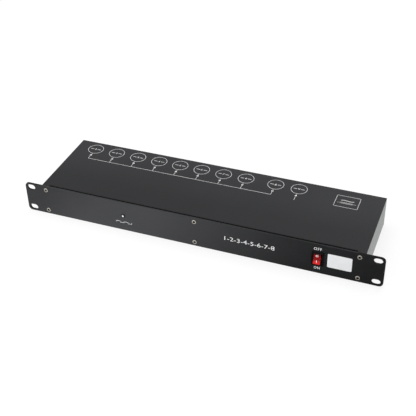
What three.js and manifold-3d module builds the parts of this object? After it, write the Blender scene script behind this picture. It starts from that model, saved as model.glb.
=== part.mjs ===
// A 19-inch rack unit that splits one lighting control signal to nine outputs.
// Millimetres, +X right seen from the front, +Y to the rear, +Z up.
// The origin is the middle of the underside of the case.

import * as THREE from 'three';
import { mergeVertices } from 'three/addons/utils/BufferGeometryUtils.js';
import Module from 'manifold-3d';

const wasm = await Module();
wasm.setup();

// Driving dimensions of the whole unit
const panelWidth = 482.6;
const panelHeight = 43.8;
const panelThickness = 2;
const rackEarWidth = 23.8;
const caseDepth = 123;
const caseDrop = 1.2;
const sheetThickness = 1;
const rearPlateThickness = 1.2;
const outputCount = 8;

// Clearances shared by the pieces
const fitGap = 0.3;
const overrun = 1;

// Planes that the pieces share
const caseWidth = panelWidth - 2 * rackEarWidth;
const caseHeight = panelHeight - caseDrop;
const frontY = -caseDepth / 2;
const panelBackY = frontY + panelThickness;
const rearY = caseDepth / 2;
const rearPlateY = rearY - rearPlateThickness;
const panelMidZ = panelHeight / 2;
const trayTopZ = caseHeight - sheetThickness;
const caseMidZ = caseHeight / 2;
const caseHalfX = caseWidth / 2;

// The row of connectors on the rear plate, which also places the boards inside. The gaps
// between the flanges share out whatever width the flanges leave free.
const flangeWidth = 26;
const inletFlangeWidth = 30;
const firstSocketInset = 28;
const socketGap = 5.75;
const linkGap = 15.45;
const inletGap = 37.25;
const rearEndGap = 31.3;
const rowGaps = outputCount * socketGap + linkGap + inletGap + rearEndGap;
const rowFlanges = (outputCount + 2) * flangeWidth + inletFlangeWidth;
const rowStart = firstSocketInset - flangeWidth / 2;
const gapShare = (caseWidth - rowStart - rowFlanges) / rowGaps;
const socketPitch = flangeWidth + gapShare * socketGap;
const firstSocketX = firstSocketInset - caseHalfX;
const outputXs = Array.from({ length: outputCount }, (_, i) => firstSocketX + i * socketPitch);
outputXs.push(outputXs[outputCount - 1] + flangeWidth + gapShare * linkGap);
const inputX = outputXs[outputCount] + socketPitch;
const inletX = inputX + (flangeWidth + inletFlangeWidth) / 2 + gapShare * inletGap;

// Facets of round features
const arcFacets = 4;
const screwFacets = 12;
const socketFacets = 20;
const wireFacets = 8;

// Finishes
const finishes = {
  blackPaint: new THREE.MeshStandardMaterial({ color: 0x303133, roughness: 0.45, metalness: 0 }),
  bareSheet: new THREE.MeshStandardMaterial({ color: 0xa8aaa6, roughness: 0.4, metalness: 0.9 }),
  screwSteel: new THREE.MeshStandardMaterial({ color: 0xb8b29c, roughness: 0.3, metalness: 1 }),
  lampLens: new THREE.MeshStandardMaterial({ color: 0xf2f4f2, roughness: 0.2, metalness: 0 }),
  blackPlastic: new THREE.MeshStandardMaterial({ color: 0x141416, roughness: 0.4, metalness: 0 }),
  redPlastic: new THREE.MeshStandardMaterial({ color: 0xb41a18, roughness: 0.35, metalness: 0 }),
  whitePlate: new THREE.MeshStandardMaterial({ color: 0xe8e9ea, roughness: 0.5, metalness: 0 }),
  contactMetal: new THREE.MeshStandardMaterial({ color: 0xc9c2ac, roughness: 0.3, metalness: 1 }),
  fuseGlass: new THREE.MeshStandardMaterial({ color: 0xd8e0e0, roughness: 0.1, metalness: 0 }),
  boardGreen: new THREE.MeshStandardMaterial({ color: 0x1f5a34, roughness: 0.5, metalness: 0 }),
  coreSteel: new THREE.MeshStandardMaterial({ color: 0x5a5c60, roughness: 0.5, metalness: 0.8 }),
  wireJacket: new THREE.MeshStandardMaterial({ color: 0x2c3f6b, roughness: 0.5, metalness: 0 }),
};

const unit = new THREE.Group();

// A closed three.js geometry as a solid for joining and cutting
function solidOf(geometry) {
  const bare = geometry.index ? geometry.toNonIndexed() : geometry.clone();
  bare.deleteAttribute('normal');
  bare.deleteAttribute('uv');
  const merged = mergeVertices(bare);
  const position = merged.attributes.position;
  const triVerts = Uint32Array.from(merged.index.array);
  const a = new THREE.Vector3();
  const b = new THREE.Vector3();
  const c = new THREE.Vector3();
  let volume = 0;
  for (let i = 0; i < triVerts.length; i += 3) {
    a.fromBufferAttribute(position, triVerts[i]);
    b.fromBufferAttribute(position, triVerts[i + 1]);
    c.fromBufferAttribute(position, triVerts[i + 2]);
    volume += a.dot(b.cross(c));
  }
  if (volume < 0) {
    for (let i = 0; i < triVerts.length; i += 3) {
      [triVerts[i], triVerts[i + 1]] = [triVerts[i + 1], triVerts[i]];
    }
  }
  const vertProperties = Float32Array.from(position.array);
  return new wasm.Manifold(new wasm.Mesh({ numProp: 3, vertProperties, triVerts }));
}

// A solid back as a geometry that a mesh can show
function geometryOf(solid) {
  const made = solid.getMesh();
  const geometry = new THREE.BufferGeometry();
  geometry.setAttribute('position', new THREE.BufferAttribute(made.vertProperties, 3));
  geometry.setIndex(new THREE.BufferAttribute(made.triVerts, 1));
  geometry.computeVertexNormals();
  return geometry;
}

function joined(solids) {
  return solids.reduce((whole, next) => whole.add(next));
}

function cut(solid, tools) {
  return tools.reduce((left, tool) => left.subtract(tool), solid);
}

// A box between two corners
function box(x0, x1, y0, y1, z0, z1) {
  const geometry = new THREE.BoxGeometry(x1 - x0, y1 - y0, z1 - z0);
  geometry.translate((x0 + x1) / 2, (y0 + y1) / 2, (z0 + z1) / 2);
  return solidOf(geometry);
}

// A round bar along Y, with its own radius at each end when both are given
function barY(x, z, y0, y1, radius, facets, farRadius = radius) {
  const geometry = new THREE.CylinderGeometry(farRadius, radius, y1 - y0, facets);
  geometry.translate(x, (y0 + y1) / 2, z);
  return solidOf(geometry);
}

function barX(y, z, x0, x1, radius, facets, farRadius = radius) {
  const geometry = new THREE.CylinderGeometry(farRadius, radius, x1 - x0, facets);
  geometry.rotateZ(-Math.PI / 2);
  geometry.translate((x0 + x1) / 2, y, z);
  return solidOf(geometry);
}

function barZ(x, y, z0, z1, radius, facets) {
  const geometry = new THREE.CylinderGeometry(radius, radius, z1 - z0, facets);
  geometry.rotateX(Math.PI / 2);
  geometry.translate(x, y, (z0 + z1) / 2);
  return solidOf(geometry);
}

// A flat outline drawn in X and Z, as thick as from y0 to y1
function plateY(shape, y0, y1) {
  const settings = { depth: y1 - y0, bevelEnabled: false, curveSegments: arcFacets };
  const geometry = new THREE.ExtrudeGeometry(shape, settings);
  geometry.rotateX(Math.PI / 2);
  geometry.translate(0, y1, 0);
  return solidOf(geometry);
}

// A flat outline drawn in Y and Z, as thick as from x0 to x1
function plateX(shape, x0, x1) {
  const settings = { depth: x1 - x0, bevelEnabled: false, curveSegments: arcFacets };
  const geometry = new THREE.ExtrudeGeometry(shape, settings);
  geometry.rotateY(Math.PI / 2);
  geometry.rotateX(Math.PI / 2);
  geometry.translate(x0, 0, 0);
  return solidOf(geometry);
}

function roundedOutline(outline, x, z, width, height, radius) {
  const right = x + width / 2 - radius;
  const left = x - width / 2 + radius;
  const top = z + height / 2 - radius;
  const bottom = z - height / 2 + radius;
  outline.absarc(right, bottom, radius, -Math.PI / 2, 0, false);
  outline.absarc(right, top, radius, 0, Math.PI / 2, false);
  outline.absarc(left, top, radius, Math.PI / 2, Math.PI, false);
  outline.absarc(left, bottom, radius, Math.PI, 1.5 * Math.PI, false);
  outline.closePath();
  return outline;
}

function polygonShape(points) {
  return new THREE.Shape(points.map(([u, v]) => new THREE.Vector2(u, v)));
}

// Places a named piece in a group
function place(name, solid, finish, group = unit) {
  const mesh = new THREE.Mesh(solid.isBufferGeometry ? solid : geometryOf(solid), finish);
  mesh.name = name;
  group.add(mesh);
  return mesh;
}

function groupAt(x, y, z) {
  const group = new THREE.Group();
  group.position.set(x, y, z);
  unit.add(group);
  return group;
}

// Front panel: a rounded plate with four rack slots and its cut-outs
const panelCornerRadius = 5.5;
const slotLength = 11;
const slotWidth = 7.6;
const slotInset = 8.75;
const slotEdge = 6.025;
const endScrewInset = 7;
const panelScrewEdge = 6;
const panelScrewHoleRadius = 1.8;
const lampInset = 118.1;
const lampRise = 0.6;
const lampHoleRadius = 2.3;
const switchInset = 57.7;
const switchRise = 0.7;
const switchCutWidth = 13.2;
const switchCutHeight = 19.2;
const lampX = lampInset - caseHalfX;
const lampZ = panelMidZ + lampRise;
const switchX = caseHalfX - switchInset;
const switchZ = panelMidZ + switchRise;
const endScrewX = caseHalfX - endScrewInset;
const panelScrewXs = [-endScrewX, 0, endScrewX];
const panelScrewZs = [panelHeight - panelScrewEdge, panelScrewEdge];

function frontPanel() {
  const outline = roundedOutline(
    new THREE.Shape(), 0, panelMidZ, panelWidth, panelHeight, panelCornerRadius,
  );
  for (const side of [-1, 1]) {
    for (const z of [slotEdge, panelHeight - slotEdge]) {
      const x = side * (panelWidth / 2 - slotInset);
      const reach = (slotLength - slotWidth) / 2;
      const slot = new THREE.Path();
      slot.absarc(x + reach, z, slotWidth / 2, -Math.PI / 2, Math.PI / 2, false);
      slot.absarc(x - reach, z, slotWidth / 2, Math.PI / 2, 1.5 * Math.PI, false);
      slot.closePath();
      outline.holes.push(slot);
    }
  }
  const plate = plateY(outline, frontY, panelBackY);
  const holes = panelHoles(frontY - overrun, panelBackY + overrun, 0);
  return cut(plate, holes);
}

// The holes that the panel and the tray's front wall share, the wall's a little wider
function panelHoles(y0, y1, ease) {
  const holes = [barY(lampX, lampZ, y0, y1, lampHoleRadius + ease, screwFacets)];
  for (const x of panelScrewXs) {
    for (const z of panelScrewZs) {
      holes.push(barY(x, z, y0, y1, panelScrewHoleRadius, screwFacets));
    }
  }
  const halfWidth = switchCutWidth / 2 + ease;
  const halfHeight = switchCutHeight / 2 + ease;
  holes.push(box(
    switchX - halfWidth, switchX + halfWidth, y0, y1, switchZ - halfHeight, switchZ + halfHeight,
  ));
  return holes;
}

place('front_panel', frontPanel(), finishes.blackPaint);

// Panel screws: low round socket heads on the panel's face, threaded into the tray
const panelHeadRadius = 2.9;
const panelHeadHeight = 0.8;
const panelShankRadius = 1.4;
const panelShankLength = 6;
const panelSocketRadius = 1.9;
const panelSocketFloor = 0.2;
const headCrownShares = [[1, 0], [1, 0.4], [0.95, 0.8], [0.83, 1], [0, 1]];

function panelScrew() {
  const points = [new THREE.Vector2(0, panelShankLength)];
  points.push(new THREE.Vector2(panelShankRadius, panelShankLength));
  points.push(new THREE.Vector2(panelShankRadius, 0));
  for (const [across, up] of headCrownShares) {
    points.push(new THREE.Vector2(across * panelHeadRadius, -up * panelHeadHeight));
  }
  const screw = solidOf(new THREE.LatheGeometry(points, screwFacets));
  return screw.subtract(
    barY(0, 0, -panelHeadHeight - overrun, -panelSocketFloor, panelSocketRadius, 6),
  );
}

const panelScrewGeometry = geometryOf(panelScrew());
panelScrewXs.forEach((x, column) => {
  panelScrewZs.forEach((z, row) => {
    const number = column * panelScrewZs.length + row + 1;
    const group = groupAt(x, frontY, z);
    place(`panel_screw_${number}`, panelScrewGeometry, finishes.screwSteel, group);
  });
});

// Signal lamp: a round lens in a black ring that is pushed through the panel
const holderFlangeRadius = 2.9;
const holderFlangeHeight = 0.7;
const holderSleeveRadius = 2.1;
const holderSleeveLength = 5;
const lampBoreRadius = 1.65;
const lampRadius = 1.5;
const lampRimRadius = 2;
const lampRimLength = 1;
const lampDomeHeight = 1.5;
const lampProud = 0.4;
const domeShares = [[1, 0], [0.87, 0.5], [0.5, 0.87], [0, 1]];

function ledHolder() {
  const flange = barY(0, 0, -holderFlangeHeight, 0, holderFlangeRadius, screwFacets);
  const sleeve = barY(0, 0, -holderFlangeHeight, holderSleeveLength, holderSleeveRadius, screwFacets);
  const bore = barY(
    0, 0, -holderFlangeHeight - overrun, holderSleeveLength + overrun, lampBoreRadius, screwFacets,
  );
  return flange.add(sleeve).subtract(bore);
}

function signalLed() {
  const domeBase = lampDomeHeight - holderFlangeHeight - lampProud;
  const points = [new THREE.Vector2(0, holderSleeveLength + lampRimLength)];
  points.push(new THREE.Vector2(lampRimRadius, holderSleeveLength + lampRimLength));
  points.push(new THREE.Vector2(lampRimRadius, holderSleeveLength));
  points.push(new THREE.Vector2(lampRadius, holderSleeveLength));
  for (const [across, up] of domeShares) {
    points.push(new THREE.Vector2(across * lampRadius, domeBase - up * lampDomeHeight));
  }
  return solidOf(new THREE.LatheGeometry(points, screwFacets));
}

const lampGroup = groupAt(lampX, frontY, lampZ);
place('led_holder', ledHolder(), finishes.blackPlastic, lampGroup);
place('signal_led', signalLed(), finishes.lampLens, lampGroup);

// Rocker switch: a bezel and well clipped in the panel, and the rocker on its pins.
// The rocker's pivot lies in the plane of the panel's front face.
const bezelWidth = 15;
const bezelHeight = 21;
const bezelThickness = 1.5;
const bezelRadius = 1.2;
const switchBodyDepth = 13;
const switchWall = 0.85;
const rockerSideGap = 0.7;
const rockerWidth = switchCutWidth - 2 * (fitGap + switchWall + rockerSideGap);
const rockerHalfLength = 7.2;
const rockerCentreProud = 1.5;
const rockerEndProud = 2.8;
const rockerDepth = 2.6;
const rockerTilt = 10;
const rockerPinRadius = 1;
const rockerPinLength = 0.8;
const rockerPinFacets = 8;
const switchBladeWidth = 4.8;
const switchBladeThickness = 0.8;
const switchBladeLength = 7;
const switchBladeSpacing = 7;
const rockerEndRadius = Math.hypot(rockerHalfLength, rockerEndProud);
const wellDepth = rockerEndRadius * Math.sin(
  Math.asin(rockerDepth / rockerEndRadius) + THREE.MathUtils.degToRad(rockerTilt),
) + fitGap;

function switchHousing() {
  const bodyWidth = switchCutWidth - 2 * fitGap;
  const bodyHeight = switchCutHeight - 2 * fitGap;
  const bezel = plateY(
    roundedOutline(new THREE.Shape(), 0, 0, bezelWidth, bezelHeight, bezelRadius),
    -bezelThickness, 0,
  );
  const body = box(
    -bodyWidth / 2, bodyWidth / 2, -bezelThickness, switchBodyDepth, -bodyHeight / 2, bodyHeight / 2,
  );
  const wellHalfWidth = rockerWidth / 2 + rockerSideGap;
  const wellHalfHeight = rockerEndRadius + fitGap;
  const well = box(
    -wellHalfWidth, wellHalfWidth, -bezelThickness - overrun, wellDepth,
    -wellHalfHeight, wellHalfHeight,
  );
  const pinHole = barX(0, 0, -bodyWidth, bodyWidth, rockerPinRadius + fitGap, rockerPinFacets);
  const blades = [-1, 0, 1].map((row) => {
    const z = row * switchBladeSpacing;
    return box(
      -switchBladeWidth / 2, switchBladeWidth / 2, switchBodyDepth - overrun,
      switchBodyDepth + switchBladeLength, z - switchBladeThickness / 2, z + switchBladeThickness / 2,
    );
  });
  return joined([cut(bezel.add(body), [well, pinHole]), ...blades]);
}

function switchRocker() {
  const endAngle = Math.atan2(rockerEndProud, rockerHalfLength);
  const heelAngle = Math.asin(rockerDepth / rockerEndRadius);
  const faceSteps = 6;
  const endSteps = 3;
  const points = [];
  for (let i = 0; i <= faceSteps; i += 1) {
    const along = -1 + 2 * i / faceSteps;
    const dip = (rockerEndProud - rockerCentreProud) * (1 - along * along);
    points.push([dip - rockerEndProud, -along * rockerHalfLength]);
  }
  for (let i = 1; i <= endSteps; i += 1) {
    const angle = endAngle - (endAngle + heelAngle) * i / endSteps;
    points.push([-rockerEndRadius * Math.sin(angle), -rockerEndRadius * Math.cos(angle)]);
  }
  for (let i = endSteps; i >= 1; i -= 1) {
    const angle = endAngle - (endAngle + heelAngle) * i / endSteps;
    points.push([-rockerEndRadius * Math.sin(angle), rockerEndRadius * Math.cos(angle)]);
  }
  const body = plateX(polygonShape(points), -rockerWidth / 2, rockerWidth / 2);
  const pinReach = rockerWidth / 2 + rockerSideGap + rockerPinLength;
  return body.add(barX(0, 0, -pinReach, pinReach, rockerPinRadius, rockerPinFacets));
}

const switchGroup = groupAt(switchX, frontY, switchZ);
place('switch_housing', switchHousing(), finishes.blackPlastic, switchGroup);
const rockerPivot = new THREE.Group();
rockerPivot.rotation.x = -THREE.MathUtils.degToRad(rockerTilt);
switchGroup.add(rockerPivot);
place('switch_rocker', switchRocker(), finishes.redPlastic, rockerPivot);

// Label plate: a thin bare plate stuck on the panel beside the switch
const labelInset = 30.25;
const labelRise = 1.1;
const labelX = caseHalfX - labelInset;
const labelZ = panelMidZ + labelRise;
const labelWidth = 30.1;
const labelHeight = 20.2;
const labelThickness = 0.5;
const labelRadius = 1.5;

const labelOutline = roundedOutline(
  new THREE.Shape(), labelX, labelZ, labelWidth, labelHeight, labelRadius,
);
place('label_plate', plateY(labelOutline, frontY - labelThickness, frontY), finishes.whitePlate);

// Chassis tray: one folded sheet with floor, side walls, front wall, rear flanges,
// and clinched standoffs under the two boards
const trayBendRadius = 1.5;
const frontWallDrop = 1;
const rearFlangeWidth = 10;
const standoffRadius = 2.5;
const standoffFacets = 8;
const coverScrewDrop = 7;
const coverScrewInset = 22;
const coverHeadRadius = 2.7;
const coverShankRadius = 1.4;
const coverShankLength = 5;
const screwSlack = 0.15;
const coverScrewYs = [panelBackY + coverScrewInset, rearPlateY - coverScrewInset];
const coverScrewZ = trayTopZ - coverScrewDrop;

// Board outlines, which the tray's standoffs and the wiring follow. The boards lie as low
// as they must to pass under the connectors' barrels.
const boardThickness = 1.6;
const barrelRadius = 11.7;
const boardBarrelGap = 2;
const boardTopZ = caseMidZ - barrelRadius - boardBarrelGap;
const boardBottomZ = boardTopZ - boardThickness;
const boardSideGap = 12.5;
const boardRearGap = 4.3;
const boardGap = 8;
const splitterBoardDepth = 78;
const inputReach = 18.05;
const powerBoardSideGap = 11.5;
const powerBoardEndGap = 31.5;
const splitterBoard = {
  left: boardSideGap - caseHalfX,
  right: inputX + inputReach,
  front: rearPlateY - boardRearGap - splitterBoardDepth,
  rear: rearPlateY - boardRearGap,
};
const powerBoard = {
  left: splitterBoard.right + boardGap,
  right: caseHalfX - powerBoardSideGap,
  front: frontY + powerBoardEndGap,
  rear: rearY - powerBoardEndGap,
};
const standoffInset = 6;
const splitterStandoffShares = [0, 0.5, 1];
const powerStandoffShares = [0, 1];

function standoffPlaces(board, shares) {
  const x0 = board.left + standoffInset;
  const x1 = board.right - standoffInset;
  const ys = [board.front + standoffInset, board.rear - standoffInset];
  return shares.flatMap((share) => ys.map((y) => [x0 + share * (x1 - x0), y]));
}

function chassisTray() {
  const inner = caseHalfX - sheetThickness;
  const profile = new THREE.Shape();
  profile.moveTo(caseHalfX, trayTopZ);
  profile.lineTo(inner, trayTopZ);
  profile.lineTo(inner, sheetThickness);
  profile.lineTo(-inner, sheetThickness);
  profile.lineTo(-inner, trayTopZ);
  profile.lineTo(-caseHalfX, trayTopZ);
  profile.absarc(
    trayBendRadius - caseHalfX, trayBendRadius, trayBendRadius, Math.PI, 1.5 * Math.PI, false,
  );
  profile.absarc(
    caseHalfX - trayBendRadius, trayBendRadius, trayBendRadius, -Math.PI / 2, 0, false,
  );
  profile.closePath();
  const pieces = [plateY(profile, panelBackY, rearPlateY)];
  const wallBackY = panelBackY + sheetThickness;
  const half = sheetThickness / 2;
  pieces.push(box(
    -inner - half, inner + half, panelBackY, wallBackY, half, trayTopZ - frontWallDrop,
  ));
  for (const side of [-1, 1]) {
    const outerX = side * (inner + half);
    const innerX = side * (caseHalfX - rearFlangeWidth);
    pieces.push(box(
      Math.min(outerX, innerX), Math.max(outerX, innerX),
      rearPlateY - sheetThickness, rearPlateY, half, trayTopZ - frontWallDrop,
    ));
  }
  const seats = [
    ...standoffPlaces(splitterBoard, splitterStandoffShares),
    ...standoffPlaces(powerBoard, powerStandoffShares),
  ];
  for (const [x, y] of seats) {
    pieces.push(barZ(x, y, half, boardBottomZ, standoffRadius, standoffFacets));
  }
  const holes = panelHoles(panelBackY - overrun, wallBackY + overrun, fitGap);
  for (const side of [-1, 1]) {
    for (const y of coverScrewYs) {
      const wide = coverHeadRadius + screwSlack;
      const narrow = coverShankRadius + screwSlack;
      const x0 = side < 0 ? -caseHalfX : inner;
      const radii = side < 0 ? [wide, narrow] : [narrow, wide];
      holes.push(barX(y, coverScrewZ, x0, x0 + sheetThickness, radii[0], screwFacets, radii[1]));
    }
  }
  return cut(joined(pieces), holes);
}

place('chassis_tray', chassisTray(), finishes.bareSheet);

// Top cover: a folded plate on the tray's walls, with lips inside them. Its front fold
// stands back from the panel, but the two corners reach it.
const coverSetback = 4;
const coverCornerLength = 9.5;
const coverSwitchGap = 2.4;
const coverSideLip = 12;
const coverBendRadius = 1.2;
const lipHoleRadius = coverShankRadius + screwSlack;

function topCover() {
  const foldY = panelBackY + coverSetback;
  const foldHalfX = caseHalfX - coverCornerLength;
  const lipBottomZ = switchZ + switchCutHeight / 2 + coverSwitchGap;
  const fold = new THREE.Shape();
  fold.moveTo(rearY, trayTopZ);
  fold.lineTo(rearY, caseHeight);
  fold.lineTo(foldY + coverBendRadius, caseHeight);
  fold.absarc(
    foldY + coverBendRadius, caseHeight - coverBendRadius, coverBendRadius,
    Math.PI / 2, Math.PI, false,
  );
  fold.lineTo(foldY, lipBottomZ);
  fold.lineTo(foldY + sheetThickness, lipBottomZ);
  fold.lineTo(foldY + sheetThickness, trayTopZ);
  fold.closePath();
  const pieces = [plateX(fold, -foldHalfX, foldHalfX)];
  const lipFrontY = foldY + sheetThickness;
  const lipRearY = rearPlateY - sheetThickness - fitGap;
  const half = sheetThickness / 2;
  for (const side of [-1, 1]) {
    const edge = side * caseHalfX;
    const inside = side * (foldHalfX - overrun);
    pieces.push(box(
      Math.min(edge, inside), Math.max(edge, inside),
      panelBackY + fitGap, rearY, trayTopZ, caseHeight,
    ));
    const lipOuter = side * (caseHalfX - sheetThickness - fitGap);
    const lipInner = lipOuter - side * sheetThickness;
    pieces.push(box(
      Math.min(lipOuter, lipInner), Math.max(lipOuter, lipInner),
      lipFrontY, lipRearY, trayTopZ - coverSideLip, trayTopZ + half,
    ));
  }
  const reach = caseHalfX + overrun;
  const holes = coverScrewYs.map((y) => barX(
    y, coverScrewZ, -reach, reach, lipHoleRadius, screwFacets,
  ));
  return cut(joined(pieces), holes);
}

place('top_cover', topCover(), finishes.blackPaint);

// Cover screws: countersunk through the tray's walls into the cover's lips
function coverScrew() {
  const head = barX(0, 0, -sheetThickness, 0, coverShankRadius, screwFacets, coverHeadRadius);
  const shank = barX(0, 0, -coverShankLength, -sheetThickness / 2, coverShankRadius, screwFacets);
  return head.add(shank);
}

const coverScrewGeometry = geometryOf(coverScrew());
[-1, 1].forEach((side, column) => {
  coverScrewYs.forEach((y, row) => {
    const number = column * coverScrewYs.length + row + 1;
    const group = groupAt(side * caseHalfX, y, coverScrewZ);
    group.rotation.z = side < 0 ? Math.PI : 0;
    place(`cover_screw_${number}`, coverScrewGeometry, finishes.screwSteel, group);
  });
});

// Connector sizes: a square flange with a round barrel through the rear plate
const flangeHeight = 31;
const flangeThickness = 2;
const flangeRadius = 2.5;
const barrelLength = 20;
const barrelClearance = 0.4;
const boreRadius = 9.6;
const boreDepth = 16.5;
const neckHoleRadius = 6.2;
const inletWidth = 27;
const inletHeight = 31;

// Rear plate: carries the connectors and closes the tray under the cover
function rearPanel() {
  const plate = box(-caseHalfX, caseHalfX, rearPlateY, rearY, 0, trayTopZ);
  const y0 = rearPlateY - overrun;
  const y1 = rearY + overrun;
  const holes = [...outputXs, inputX].map((x) => barY(
    x, caseMidZ, y0, y1, barrelRadius + barrelClearance, socketFacets,
  ));
  const halfWidth = inletWidth / 2 + fitGap;
  const halfHeight = inletHeight / 2 + fitGap;
  holes.push(box(
    inletX - halfWidth, inletX + halfWidth, y0, y1, caseMidZ - halfHeight, caseMidZ + halfHeight,
  ));
  return cut(plate, holes);
}

place('rear_panel', rearPanel(), finishes.blackPaint);

// Connector shell: flange, barrel, bore and the neck hole at its foot.
// Its own frame has the flange's back at y zero and the open end towards +Y.
function connectorShell() {
  const outline = roundedOutline(
    new THREE.Shape(), 0, 0, flangeWidth, flangeHeight, flangeRadius,
  );
  const flange = plateY(outline, 0, flangeThickness);
  const barrel = barY(0, 0, -barrelLength, flangeThickness, barrelRadius, socketFacets);
  const boreFoot = flangeThickness - boreDepth;
  const bore = barY(0, 0, boreFoot, flangeThickness + overrun, boreRadius, socketFacets);
  const neck = barY(0, 0, -barrelLength - overrun, 0, neckHoleRadius, screwFacets);
  return cut(flange.add(barrel), [bore, neck]);
}

// Release latch of an output socket: a thumb pad outside and a tongue in a slot of the shell
const latchWidth = 6;
const tongueBottom = 9.9;
const tongueTop = 11.2;
const tongueLength = 14;
const latchTravel = 1.5;
const latchPadWidth = 8;
const latchPadTop = 14.4;
const latchPadThickness = 1.8;
const latchPadGap = 1.8;

function latchSlot() {
  const foot = flangeThickness - tongueLength - latchTravel - fitGap;
  return box(
    -latchWidth / 2 - fitGap, latchWidth / 2 + fitGap, foot, flangeThickness + overrun,
    0, tongueTop + fitGap,
  );
}

function outputShell() {
  const keep = barY(
    0, 0, -barrelLength - overrun, flangeThickness + overrun, tongueBottom - fitGap, socketFacets,
  );
  return connectorShell().subtract(latchSlot().subtract(keep));
}

function outputLatch() {
  const padBack = flangeThickness + latchPadGap;
  const tongue = box(
    -latchWidth / 2, latchWidth / 2, flangeThickness - tongueLength, padBack + latchPadThickness / 2,
    tongueBottom, tongueTop,
  );
  const pad = box(
    -latchPadWidth / 2, latchPadWidth / 2, padBack, padBack + latchPadThickness,
    tongueBottom, latchPadTop,
  );
  return tongue.add(pad);
}

// Contact inserts: a plug of plastic in the bore, its neck through the shell's foot,
// and three pins that stand on the board
const insertRadius = 7.9;
const insertRecess = 1;
const insertNeckRadius = 5.8;
const neckProud = 3;
const contactRing = 3.9;
const contactHoleRadius = 1.3;
const contactHoleDepth = 12;
const pinRadius = 1.2;
const pinLength = 12.5;
const pinFacets = 8;
const tailSize = 0.9;
const inputInsertRadius = 9.3;
const inputInsertThickness = 3;
const tailTopZ = caseMidZ - insertNeckRadius / 2;
const contactPlaces = [[-contactRing, 0], [contactRing, 0], [0, -contactRing]];

function insertNeckAndTails(boreFoot) {
  const neckEnd = -barrelLength - neckProud;
  const parts = [barY(0, 0, neckEnd, boreFoot + overrun, insertNeckRadius, screwFacets)];
  const tailY = neckEnd + neckProud / 2;
  const tailTop = tailTopZ - caseMidZ;
  const tailFoot = boardTopZ - caseMidZ;
  for (const [x] of contactPlaces) {
    parts.push(box(
      x - tailSize / 2, x + tailSize / 2, tailY - tailSize / 2, tailY + tailSize / 2,
      tailFoot, tailTop,
    ));
  }
  return parts;
}

function outputInsert() {
  const boreFoot = flangeThickness - boreDepth;
  const face = flangeThickness - insertRecess;
  const plug = barY(0, 0, boreFoot, face, insertRadius, socketFacets);
  const holes = contactPlaces.map(([x, z]) => barY(
    x, z, face - contactHoleDepth, face + overrun, contactHoleRadius, pinFacets,
  ));
  return joined([cut(plug, holes), ...insertNeckAndTails(boreFoot)]);
}

function inputInsert() {
  const boreFoot = flangeThickness - boreDepth;
  const face = boreFoot + inputInsertThickness;
  const disc = barY(0, 0, boreFoot, face, inputInsertRadius, socketFacets);
  const pins = contactPlaces.map(([x, z]) => barY(
    x, z, face - overrun, face + pinLength, pinRadius, pinFacets,
  ));
  return joined([disc, ...pins, ...insertNeckAndTails(boreFoot)]);
}

const outputShellGeometry = geometryOf(outputShell());
const outputInsertGeometry = geometryOf(outputInsert());
const outputLatchGeometry = geometryOf(outputLatch());
outputXs.forEach((x, i) => {
  const group = groupAt(x, rearY, caseMidZ);
  place(`output_shell_${i + 1}`, outputShellGeometry, finishes.blackPlastic, group);
  place(`output_insert_${i + 1}`, outputInsertGeometry, finishes.blackPlastic, group);
  place(`output_latch_${i + 1}`, outputLatchGeometry, finishes.contactMetal, group);
});
const inputGroup = groupAt(inputX, rearY, caseMidZ);
place('input_shell', connectorShell(), finishes.blackPlastic, inputGroup);
place('input_insert', inputInsert(), finishes.contactMetal, inputGroup);

// Mains inlet: a moulded body with a recess for the lead and a pocket for the fuse drawer
const inletFlangeHeight = 34;
const inletFlangeThickness = 2.5;
const inletFlangeRadius = 2;
const inletBodyLength = 20;
const recessWidth = 24.2;
const recessHeight = 16.6;
const recessChamfer = 4;
const recessDepth = 17;
const recessZ = -5.6;
const inletBladeWidth = 2;
const inletBladeHeight = 4;
const inletBladeLength = 14;
const inletBladeSpacing = 7;
const inletBladeRise = 2;
const inletTabWidth = 4.8;
const inletTabThickness = 0.8;
const inletTabLength = 7;
const drawerWidth = 22.2;
const drawerHeight = 6.8;
const drawerLength = 14;
const drawerZ = 9.8;
const drawerPadWidth = 24;
const drawerPadHeight = 8.6;
const drawerPadThickness = 1.4;
const drawerWall = 0.7;
const fuseRadius = 2.6;
const fuseLength = 20;
const fuseY = -3;
const fuseFacets = 12;
const inletBladePlaces = [
  [-inletBladeSpacing, recessZ - inletBladeRise],
  [inletBladeSpacing, recessZ - inletBladeRise],
  [0, recessZ + inletBladeRise],
];

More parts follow.
